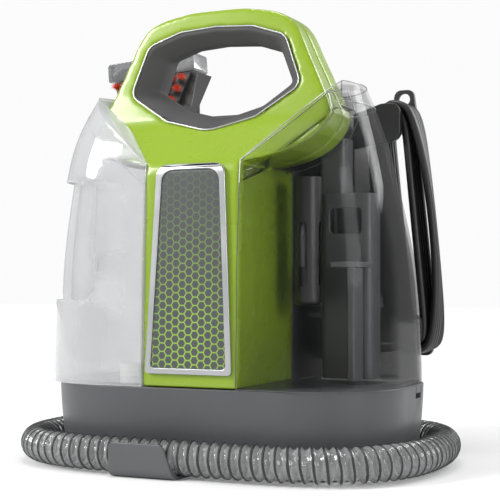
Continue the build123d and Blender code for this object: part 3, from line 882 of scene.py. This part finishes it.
@dataclass
class SuctionHose:
    """The clear corrugated hose with its black spiral, wound round the base."""
    diameter: float = 26 * MM
    pitch: float = 8 * MM
    rib_depth: float = 2.4 * MM
    wire: float = 1.15 * MM
    half_width: float = 157.3 * MM
    half_depth: float = 106.6 * MM
    height: float = 14.5 * MM
    corner: float = 50 * MM

    def route(self) -> list[Point]:
        """Returns the control points from the port, round the base and up to the tool's grip."""
        wide, deep, low = self.half_width, self.half_depth, self.height
        rear, cut = deep - 1.6 * MM, self.corner
        return [
            (-0.020, rear, 0.232), (-0.020, rear, 0.150), (-0.020, rear, low + 0.047), (0.027, rear, low),
            (wide - cut, rear, low), (wide, rear - cut, low), (wide, -deep + cut, low), (wide - cut, -deep, low),
            (0.0, -deep, low), (-wide + cut, -deep, low), (-wide, -deep + cut, low), (-wide, 0.0394, low),
            (-0.1377, 0.0759, 0.0313), (-0.1119, 0.0955, 0.0627), (-0.0953, 0.1016, 0.1042),
            (-0.095, 0.1012, 0.1275),
        ]

    def build(self) -> None:
        """Makes the hose with its spiral, port and collar."""
        line = route_points(self.route(), 16)
        radius = self.diameter / 2
        wall = run_tree(line_mesh("hose_wall", line), hose_wall_tree(), {
            "Radius": radius - 0.3 * MM, "Depth": self.rib_depth, "Pitch": self.pitch,
            "Material": material_of("hose_plastic")})
        dress(wall, "hose_plastic", "machine")
        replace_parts(wall, "hose")
        spiral = run_tree(line_mesh("hose_spiral", line), spiral_tree(), {
            "Radius": radius - 1.0 * MM, "Wire": self.wire, "Pitch": self.pitch,
            "Material": material_of("cuff_plastic")})
        dress(spiral, "cuff_plastic", "machine")
        moulding("hose_port", size=0.8 * MM)
        moulding("hose_collar", size=0.5 * MM)


@dataclass
class MainsLead:
    """The mains lead, wound on two hooks, with its gland and plug."""
    diameter: float = 6.5 * MM
    upper: tuple[float, float] = (97 * MM, 268 * MM)
    lower: tuple[float, float] = (114 * MM, 100 * MM)
    first_plane: float = 87.75 * MM
    inner_radius: float = 9.9 * MM
    turns_in_layer: int = 5
    bow: float = 2.0 * MM
    bow_step: float = 1.6 * MM

    def turn(self, radius: float, start: float, step: float, bow: float) -> list[Point]:
        """Works out one turn round both posts, from the lower post's foot.

        Args:
            radius: The turn's radius round the posts.
            start: The turn's place along Y.
            step: How far the turn moves along Y by its end.
            bow: How far its straight runs belly outwards.

        Returns:
            Twelve control points.
        """
        (ux, uz), (lx, lz) = self.upper, self.lower
        along = Vector((ux - lx, 0, uz - lz))
        side = Vector((along.z, 0, -along.x)).normalized()
        up = along.normalized()
        corner = radius / math.cos(math.radians(22.5))

        def arc(centre: Vector, *degrees: float) -> list[Vector]:
            """Returns the corner points at these angles round a post."""
            angles = [math.radians(value) for value in degrees]
            return [centre + side * (corner * math.cos(a)) + up * (corner * math.sin(a)) for a in angles]

        def run(begin: Vector, finish: Vector, out: Vector) -> list[Vector]:
            """Returns two points along a straight run, bellied outwards."""
            return [begin.lerp(finish, share) + out * bow for share in (0.28, 0.72)]

        foot, head = Vector((lx, 0, lz)), Vector((ux, 0, uz))
        points = [
            *arc(foot, -67.5, -22.5),
            *run(foot + side * radius, head + side * radius, side),
            *arc(head, 22.5, 67.5, 112.5, 157.5),
            *run(head - side * radius, foot - side * radius, -side),
            *arc(foot, 202.5, 247.5),
        ]
        count = len(points)
        return [(p.x, start + step * i / count, p.z) for i, p in enumerate(points)]

    def route(self) -> list[Point]:
        """Returns the control points from the gland, through the winding and to the plug."""
        middle = self.first_plane + 2 * self.diameter
        points: list[Point] = [(0.080, middle, 0.084), (0.090, middle, 0.084), (0.100, middle - 0.002, 0.086)]
        step = self.diameter
        for count in range(self.turns_in_layer):
            last = count == self.turns_in_layer - 1
            points += self.turn(self.inner_radius, self.first_plane + step * count, 0.0 if last else step, 0.0)
        top = self.first_plane + step * (self.turns_in_layer - 1)
        for count in range(self.turns_in_layer):
            last = count == self.turns_in_layer - 1
            wide = self.inner_radius + step
            points += self.turn(wide, top - step * count, 0.0 if last else -step, self.bow + self.bow_step * count)
        points = points[:-5]
        points += [(0.0795, middle, 0.222), (0.074, middle, 0.205), (0.068, middle, 0.190), (0.067, middle, 0.176)]
        return points

    def build(self) -> None:
        """Makes the lead, hooks, gland and plug."""
        for node in ("upper_cord_hook", "lower_cord_hook"):
            moulding(node, size=0.8 * MM)
        moulding("cord_gland", size=0.5 * MM)
        plug = moulding("mains_plug", size=0.8 * MM)
        pins = moulding("plug_pins", size=0.25 * MM)
        points = self.route()
        lead = bpy.data.objects.new("mains_lead", nurbs_curve("mains_lead", points, 8, self.diameter / 2))
        bpy.context.scene.collection.objects.link(lead)
        line = route_points(points, 8)
        dress(lead, "lead_rubber", "machine")
        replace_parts(lead, "mains_lead_tail", "mains_lead_hank", "mains_lead_end")


@dataclass
class SprayTool:
    """The spray tool stored behind the clean tank, and its holder."""
    foot: Point = (-0.095, 0.1012, 0.128)
    lean: float = 4.0
    rows: tuple[tuple[float, float, int], ...] = ((0.183, 0.032, 8), (0.174, 0.027, 7), (0.165, 0.021, 6))
    plate_face: float = -0.0466
    bristle_length: float = 8 * MM

    def frame_of_tool(self) -> Matrix:
        """Returns the matrix from the tool's own frame to the machine's."""
        return Matrix.Translation(self.foot) @ Matrix.Rotation(math.radians(-self.lean), 4, "Y")

    def bristles(self) -> None:
        """Makes the red tufts on the brush plate."""
        matrix = self.frame_of_tool()
        roots = []
        for height, half, count in self.rows:
            for i in range(count):
                x = -half + 2 * half * i / (count - 1)
                roots.append(matrix @ Vector((x, self.plate_face - self.bristle_length / 2, height)))
        tufts = run_tree(line_mesh("bristle_tufts", roots, joined=False), bristle_tree(), {
            "Length": self.bristle_length - 0.2 * MM, "Material": material_of("bristle_nylon")})
        dress(tufts, "bristle_nylon", "machine")
        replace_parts(tufts, "brush_tufts")

    def build(self) -> None:
        """Makes every piece of the tool."""
        moulding("tool_grip", Rounding.NONE, angle=45.0)
        for node in ("tool_trigger", "tool_lock_button", "tool_head", "tool_mouth", "tool_window", "brush_plate",
                     "tool_holder"):
            moulding(node, size=0.5 * MM)
        moulding("tool_neck", Rounding.NONE, angle=45.0)
        self.bristles()


@dataclass
class Inside:
    """The motor, fan, pump and heater inside the machine."""
    edge: float = 0.4 * MM

    def build(self) -> None:
        """Makes every inner piece."""
        for node in ("motor_can", "motor_plate", "rotor", "fan_housing", "impeller", "pump_body", "pump_piston",
                     "heater_block"):
            moulding(node, size=self.edge)
        moulding("solution_pipe", Rounding.NONE)


@dataclass
class Studio:
    """A pale floor, soft lights and the camera."""
    azimuth: float = 25.0
    distance: float = 0.983
    eye: float = 0.138
    lens: float = 90.1
    shift: tuple[float, float] = (0.0206, 0.0666)
    room: float = 0.45
    backdrop: float = 0.97
    near: float = 0.28
    far: float = 0.7

    def camera(self) -> None:
        """Makes the camera, level, looking along its azimuth."""
        angle = math.radians(self.azimuth)
        camera = bpy.data.cameras.new("camera")
        camera.lens, camera.sensor_width = self.lens, 36.0
        camera.shift_x, camera.shift_y = self.shift
        holder = bpy.data.objects.new("camera", camera)
        holder.location = (self.distance * math.sin(angle), -self.distance * math.cos(angle), self.eye)
        holder.rotation_euler = (math.pi / 2, 0.0, angle)
        bpy.context.scene.collection.objects.link(holder)
        bpy.context.scene.camera = holder

    def floor(self) -> None:
        """Makes the floor and the backdrop that it sweeps up into."""
        work = bmesh.new()
        bmesh.ops.create_grid(work, x_segments=1, y_segments=1, size=6.0)
        mesh = bpy.data.meshes.new("floor")
        work.to_mesh(mesh)
        work.free()
        floor = mesh_piece("floor", mesh)
        tree, shader = start_material("pale_floor")
        noise = tree.node("ShaderNodeTexNoise", {"Scale": 30.0})
        tone = tree.node("ShaderNodeMapRange", {"Value": noise.outputs[0], "To Min": 0.45, "To Max": 0.55})
        tree.tree.links.new(tone.outputs[0], shader.inputs["Roughness"])
        place = tree.node("ShaderNodeTexCoord").outputs["Object"]
        far = tree.node("ShaderNodeMapRange", {"Value": tree.node("ShaderNodeVectorMath", {0: place},
                                                                  operation="LENGTH").outputs["Value"],
                                               "From Min": self.near, "From Max": self.far},
                        interpolation_type="SMOOTHSTEP").outputs[0]
        for socket, close, away in (("Base Color", 0.86, 0.0), ("Emission Color", 0.0, 1.0)):
            tone = tree.node("ShaderNodeMix", {"Factor": far, "A": (close, close, close, 1),
                                               "B": (away, away, away, 1)}, data_type="RGBA")
            tree.tree.links.new(tone.outputs["Result"], shader.inputs[socket])
        shader.inputs["Emission Strength"].default_value = self.backdrop
        shader.inputs["Specular IOR Level"].default_value = 0.1
        floor.data.materials.append(bpy.data.materials["pale_floor"])

    def light(self, name: str, place: Point, aim: Point, size: float, power: float) -> None:
        """Adds one soft square light.

        Args:
            name: The light's name.
            place: Where it stands.
            aim: What it points at.
            size: Its side.
            power: Its power in watts.
        """
        lamp = bpy.data.lights.new(name, "AREA")
        lamp.shape, lamp.size, lamp.energy = "SQUARE", size, power
        holder = bpy.data.objects.new(name, lamp)
        holder.location = place
        holder.rotation_euler = (Vector(aim) - Vector(place)).to_track_quat("-Z", "Y").to_euler()
        bpy.context.scene.collection.objects.link(holder)

    def build(self) -> None:
        """Makes the whole studio."""
        self.camera()
        self.floor()
        world = bpy.data.worlds.new("room")
        bpy.context.scene.world = world
        world.use_nodes = True
        tree = Tree(world.node_tree)
        background = world.node_tree.nodes["Background"]
        seen = tree.node("ShaderNodeLightPath").outputs["Is Camera Ray"]
        strength = tree.node("ShaderNodeMapRange", {"Value": seen, "To Min": self.room, "To Max": self.backdrop})
        background.inputs["Color"].default_value = (1, 1, 1, 1)
        tree.tree.links.new(strength.outputs[0], background.inputs["Strength"])
        bpy.context.scene.view_settings.view_transform = "Standard"
        middle = (0.0, 0.0, 0.16)
        self.light("key", (-1.2, -1.1, 1.0), middle, 0.7, 30.0)
        self.light("fill", (1.5, -0.6, 0.5), middle, 0.6, 8.0)
        self.light("rim", (0.9, 1.2, 0.9), middle, 0.8, 14.0)
        self.light("top", (0.0, -0.1, 1.6), middle, 0.6, 9.0)


def main() -> None:
    """Builds the studio and every sub-assembly, in order."""
    logging.basicConfig(level=logging.INFO, format="%(message)s")
    parts = (Studio(), SuctionHose(), MainsLead(), GreenShell(), Tanks(), Base(), RearTower(), SprayTool(), Inside())
    for part in parts:
        part.build()
        log.info("built %s", type(part).__name__)


if __name__ == "__main__":
    main()
